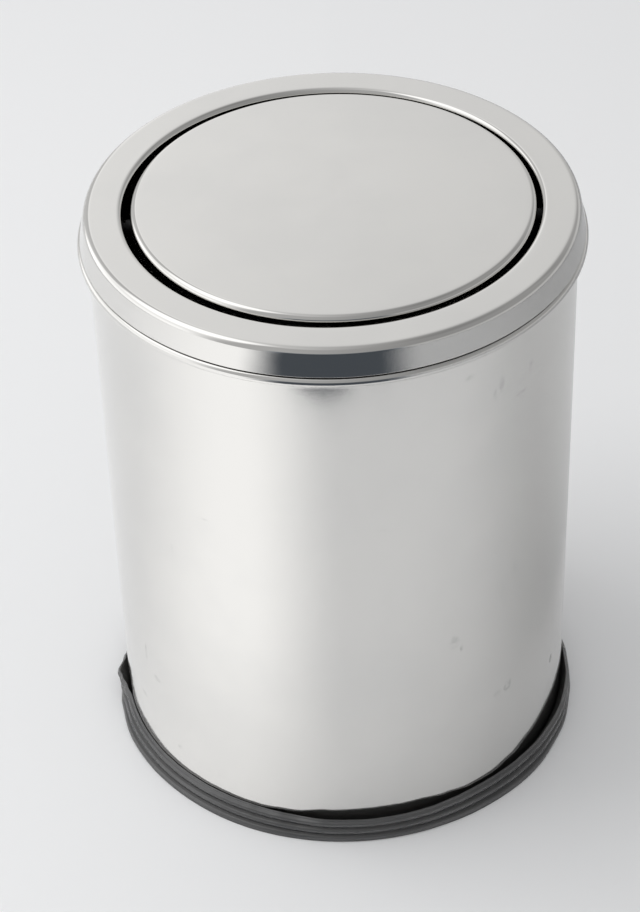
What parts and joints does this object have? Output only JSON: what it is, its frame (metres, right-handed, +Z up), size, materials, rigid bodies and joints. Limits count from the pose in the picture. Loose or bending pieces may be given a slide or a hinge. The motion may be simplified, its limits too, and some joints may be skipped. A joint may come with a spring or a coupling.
{
  "type": "flip-lid trash can",
  "caption": "Round polished steel trash can with a lift-off lid ring, a counterweighted flap that swings in the lid, and a soft ribbed trim ring round its foot.",
  "frame": {"origin": "centre of the can's foot, on the floor that it stands on", "axes": "+Z up along the can's axis, -Y towards the viewer of the picture, +X to the viewer's right along the flap's pivot axis"},
  "size_m": [0.2654, 0.2654, 0.3318],
  "materials": {
    "polished_steel": "bright polished stainless sheet with faint rolling lines and light handling marks",
    "plain_steel": "unpolished mill-finish sheet",
    "zinc_steel": "dull zinc plate",
    "black_oxide_steel": "turned steel, chemically blackened and oiled",
    "soft_black_trim": "soft extruded vinyl, satin",
    "black_plastic": "moulded plastic, matte",
    "cast_weight": "raw casting, oiled"
  },
  "bodies": {
    "can": {"body_shell": "polished_steel", "bottom_pan": "plain_steel", "base_trim": "soft_black_trim"},
    "lid": {"lid_ring": "polished_steel", "locating_collar": "plain_steel", "bracket_studs": "zinc_steel", "pivot_bracket_left": "zinc_steel", "pivot_bracket_right": "zinc_steel", "bracket_washers": "zinc_steel", "bracket_nuts": "zinc_steel", "pivot_bush_left": "black_plastic", "pivot_bush_right": "black_plastic"},
    "flap": {"flap_disc": "polished_steel", "flap_crossbar": "zinc_steel", "pivot_pin_left": "black_oxide_steel", "pivot_pin_right": "black_oxide_steel", "pin_washers": "zinc_steel", "pin_nuts": "zinc_steel", "counterweight": "cast_weight", "weight_studs": "zinc_steel", "weight_spacers": "zinc_steel", "weight_washers": "zinc_steel", "weight_nuts": "zinc_steel"}
  },
  "joints": [
    {"name": "lid_lift", "type": "slide", "parent": "can", "child": "lid", "axis": [0, 0, 1], "range_m": [0, 0.12]},
    {"name": "flap_swing", "type": "hinge", "parent": "lid", "child": "flap", "pos_m": [0, 0, 0.3163], "axis": [1, 0, 0], "range_deg": [-85, 85]}
  ]
}
